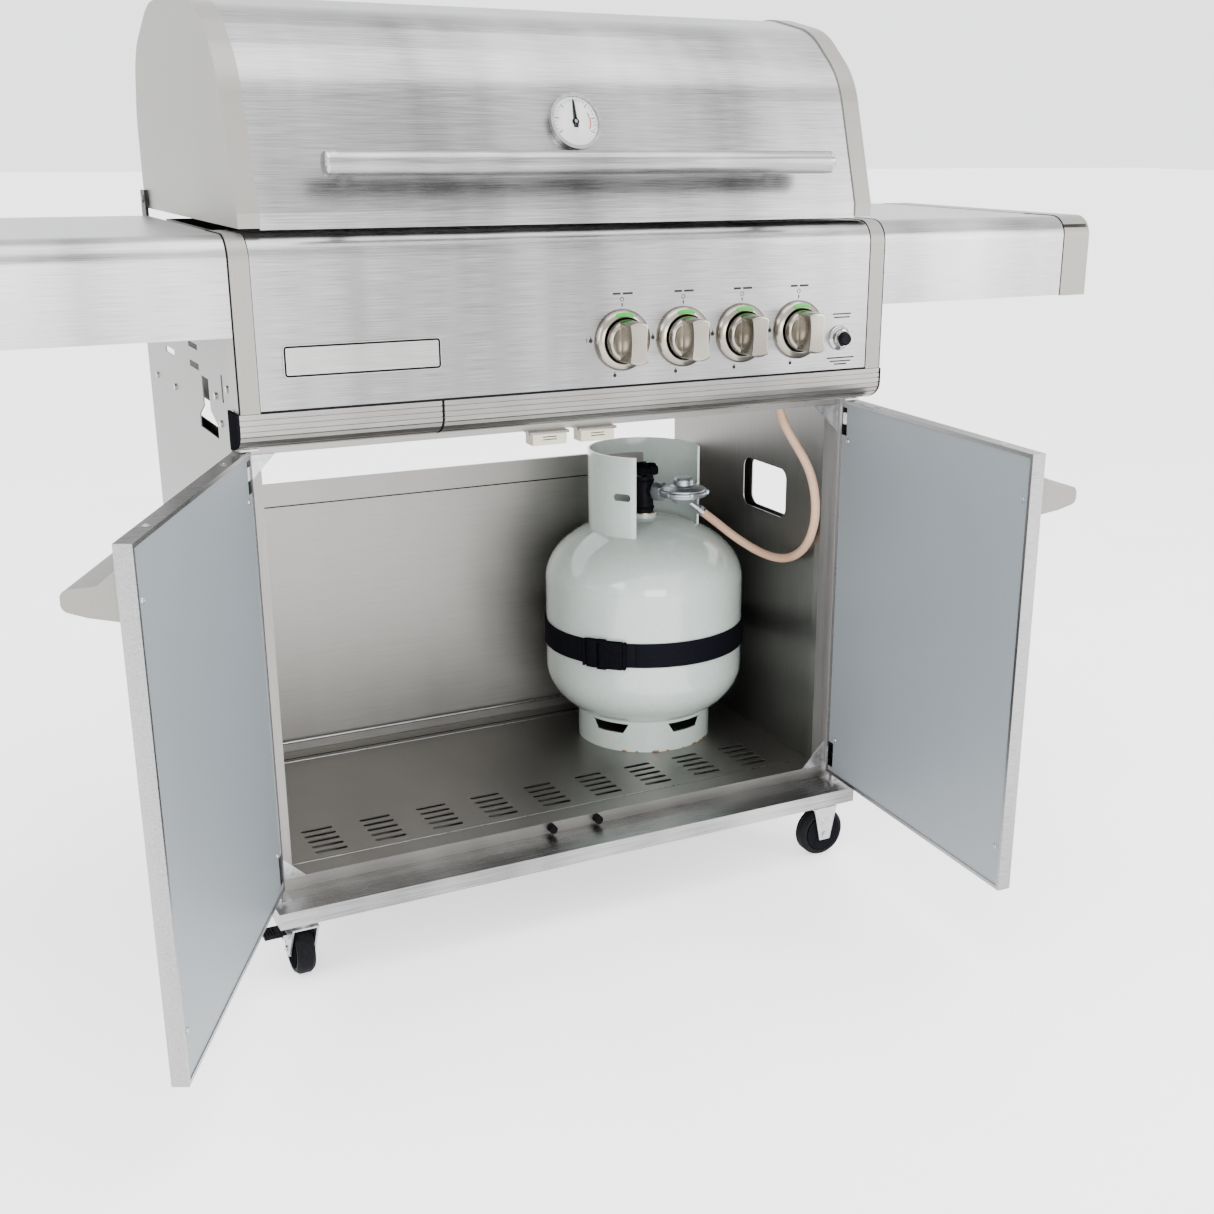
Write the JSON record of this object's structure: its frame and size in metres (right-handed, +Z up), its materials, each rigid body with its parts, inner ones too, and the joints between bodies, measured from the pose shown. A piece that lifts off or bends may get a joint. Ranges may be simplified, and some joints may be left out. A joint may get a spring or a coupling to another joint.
{
  "type": "gas barbecue grill",
  "caption": "Stainless gas barbecue on a wheeled cabinet with open doors, side shelves, tap knobs, a hood, and a strapped gas bottle joined to a regulator and hose.",
  "frame": {"origin": "on the ground under the middle of the grill's box, doors open as stored", "axes": "+X to the user's right, +Y from the user to the back, +Z up"},
  "size_m": [1.616, 0.9348, 1.2167],
  "materials": {
    "stainless": "brushed",
    "satin_steel": "satin",
    "dark_steel": "enamel",
    "grey_casting": "satin paint",
    "ribbed_aluminium": "anodised",
    "liner_paint": "satin paint",
    "nickel": "satin nickel",
    "chrome_trim": "polished",
    "zinc_steel": "zinc plated",
    "zinc_casting": "die cast",
    "brass": "turned",
    "black_plastic": "moulded",
    "cream_plastic": "moulded",
    "white_plastic": "moulded",
    "black_rubber": "matt",
    "wheel_rubber": "matt",
    "hose_rubber": "ribbed",
    "black_webbing": "woven",
    "grate_iron": "enamel",
    "cylinder_paint": "gloss paint"
  },
  "bodies": {
    "cabinet": {"base_tray": "stainless", "cabinet_floor": "satin_steel", "side_walls": "satin_steel", "upper_side_plates": "satin_steel", "back_panel": "satin_steel", "front_rail": "satin_steel", "cabinet_brackets": "zinc_steel", "magnetic_catches": "cream_plastic", "door_bumpers": "black_rubber", "control_panel": "stainless", "fascia_castings": "grey_casting", "side_shelves": "stainless", "trim_rail": "ribbed_aluminium", "panel_bezels": "nickel", "gas_manifold": "zinc_steel", "gas_taps": "brass", "firebox": "dark_steel", "burners": "satin_steel", "flame_tamers": "satin_steel", "cooking_grates": "grate_iron", "gas_cylinder": "cylinder_paint", "cylinder_valve": "black_plastic", "gas_regulator": "zinc_casting", "cylinder_strap": "black_webbing", "gas_hose": "hose_rubber", "caster_mounts": "zinc_steel", "screws": "zinc_steel"},
    "hood": {"hood_shell": "stainless", "hood_ends": "grey_casting", "hood_handle": "stainless", "thermometer": "chrome_trim"},
    "gauge_needle": {"thermometer_needle": "black_plastic"},
    "left_door": {"left_door_skin": "stainless", "left_door_liner": "liner_paint", "left_door_handle": "grey_casting"},
    "right_door": {"right_door_skin": "stainless", "right_door_liner": "liner_paint", "right_door_handle": "grey_casting"},
    "left_pin": {"left_hinge_pin": "white_plastic"},
    "right_pin": {"right_hinge_pin": "white_plastic"},
    "grease_tray": {"drip_tray": "satin_steel", "tray_front": "ribbed_aluminium"},
    "igniter": {"igniter_button": "black_plastic"},
    "handwheel": {"cylinder_handwheel": "black_plastic"},
    "fork_front": {"caster_fork_front": "zinc_steel"},
    "fork_rear": {"caster_fork_rear": "zinc_steel"},
    "brake_front": {"brake_lever_front": "black_plastic"},
    "brake_rear": {"brake_lever_rear": "black_plastic"},
    "wheel_rf": {"wheel_right_front": "wheel_rubber"},
    "wheel_rr": {"wheel_right_rear": "wheel_rubber"},
    "wheel_lf": {"wheel_left_front": "wheel_rubber"},
    "wheel_lr": {"wheel_left_rear": "wheel_rubber"},
    "stem_1": {"tap_stem_1": "brass"},
    "knob_1": {"knob_1": "nickel"},
    "stem_2": {"tap_stem_2": "brass"},
    "knob_2": {"knob_2": "nickel"},
    "stem_3": {"tap_stem_3": "brass"},
    "knob_3": {"knob_3": "nickel"},
    "stem_4": {"tap_stem_4": "brass"},
    "knob_4": {"knob_4": "nickel"}
  },
  "joints": [
    {"name": "hood_hinge", "type": "hinge", "parent": "cabinet", "child": "hood", "pos_m": [0, 0.43744, 0.971], "axis": [-1, 0, 0], "range_deg": [0, 78]},
    {"name": "thermometer_turn", "type": "hinge", "parent": "hood", "child": "gauge_needle", "pos_m": [0, -0.04406, 1.0742], "axis": [0, -0.9545, 0.2983], "range_deg": [-120, 120]},
    {"name": "left_door_hinge", "type": "hinge", "parent": "cabinet", "child": "left_door", "pos_m": [-0.433, -0.03656, 0], "axis": [0, 0, 1], "range_deg": [0, 117.6]},
    {"name": "right_door_hinge", "type": "hinge", "parent": "cabinet", "child": "right_door", "pos_m": [0.433, -0.03656, 0], "axis": [0, 0, 1], "range_deg": [-86.9, 30.7]},
    {"name": "left_pin_slide", "type": "slide", "parent": "left_door", "child": "left_pin", "axis": [0, 0, 1], "range_m": [-0.012, 0], "stiffness_N_per_m": 300, "springref_m": 0.004},
    {"name": "right_pin_slide", "type": "slide", "parent": "right_door", "child": "right_pin", "axis": [0, 0, 1], "range_m": [-0.012, 0], "stiffness_N_per_m": 300, "springref_m": 0.004},
    {"name": "tap_push_1", "type": "slide", "parent": "cabinet", "child": "stem_1", "axis": [0, 1, 0], "range_m": [0, 0.004], "stiffness_N_per_m": 600},
    {"name": "tap_turn_1", "type": "hinge", "parent": "stem_1", "child": "knob_1", "pos_m": [0.043, -0.08856, 0.8145], "axis": [0, 1, 0], "range_deg": [-180, 0]},
    {"name": "tap_push_2", "type": "slide", "parent": "cabinet", "child": "stem_2", "axis": [0, 1, 0], "range_m": [0, 0.004], "stiffness_N_per_m": 600},
    {"name": "tap_turn_2", "type": "hinge", "parent": "stem_2", "child": "knob_2", "pos_m": [0.1307, -0.08856, 0.8145], "axis": [0, 1, 0], "range_deg": [-180, 0]},
    {"name": "tap_push_3", "type": "slide", "parent": "cabinet", "child": "stem_3", "axis": [0, 1, 0], "range_m": [0, 0.004], "stiffness_N_per_m": 600},
    {"name": "tap_turn_3", "type": "hinge", "parent": "stem_3", "child": "knob_3", "pos_m": [0.2184, -0.08856, 0.8145], "axis": [0, 1, 0], "range_deg": [-180, 0]},
    {"name": "tap_push_4", "type": "slide", "parent": "cabinet", "child": "stem_4", "axis": [0, 1, 0], "range_m": [0, 0.004], "stiffness_N_per_m": 600},
    {"name": "tap_turn_4", "type": "hinge", "parent": "stem_4", "child": "knob_4", "pos_m": [0.3061, -0.08856, 0.8145], "axis": [0, 1, 0], "range_deg": [-180, 0]},
    {"name": "igniter_push", "type": "slide", "parent": "cabinet", "child": "igniter", "axis": [0, 1, 0], "range_m": [0, 0.004], "stiffness_N_per_m": 500},
    {"name": "grease_tray_slide", "type": "slide", "parent": "cabinet", "child": "grease_tray", "axis": [0, -1, 0], "range_m": [0, 0.38]},
    {"name": "handwheel_turn", "type": "hinge", "parent": "cabinet", "child": "handwheel", "pos_m": [0.251, 0.25294, 0.5663], "axis": [0, 0, 1], "range_deg": [0, 540]},
    {"name": "caster_swivel_front", "type": "hinge", "parent": "cabinet", "child": "fork_front", "pos_m": [-0.405, -0.04656, 0], "axis": [0, 0, 1], "continuous": true},
    {"name": "wheel_turn_left_front", "type": "hinge", "parent": "fork_front", "child": "wheel_lf", "pos_m": [-0.405, -0.02456, 0.0375], "axis": [1, 0, 0], "continuous": true},
    {"name": "brake_press_front", "type": "hinge", "parent": "fork_front", "child": "brake_front", "pos_m": [-0.4271, -0.02456, 0.062], "axis": [0, 1, 0], "range_deg": [-22, 0]},
    {"name": "caster_swivel_rear", "type": "hinge", "parent": "cabinet", "child": "fork_rear", "pos_m": [-0.405, 0.40344, 0], "axis": [0, 0, 1], "continuous": true},
    {"name": "wheel_turn_left_rear", "type": "hinge", "parent": "fork_rear", "child": "wheel_lr", "pos_m": [-0.405, 0.42544, 0.0375], "axis": [1, 0, 0], "continuous": true},
    {"name": "brake_press_rear", "type": "hinge", "parent": "fork_rear", "child": "brake_rear", "pos_m": [-0.4271, 0.42544, 0.062], "axis": [0, 1, 0], "range_deg": [-22, 0]},
    {"name": "wheel_turn_right_front", "type": "hinge", "parent": "cabinet", "child": "wheel_rf", "pos_m": [0.405, -0.04156, 0.0375], "axis": [0, 1, 0], "continuous": true},
    {"name": "wheel_turn_right_rear", "type": "hinge", "parent": "cabinet", "child": "wheel_rr", "pos_m": [0.405, 0.40344, 0.0375], "axis": [0, 1, 0], "continuous": true}
  ]
}
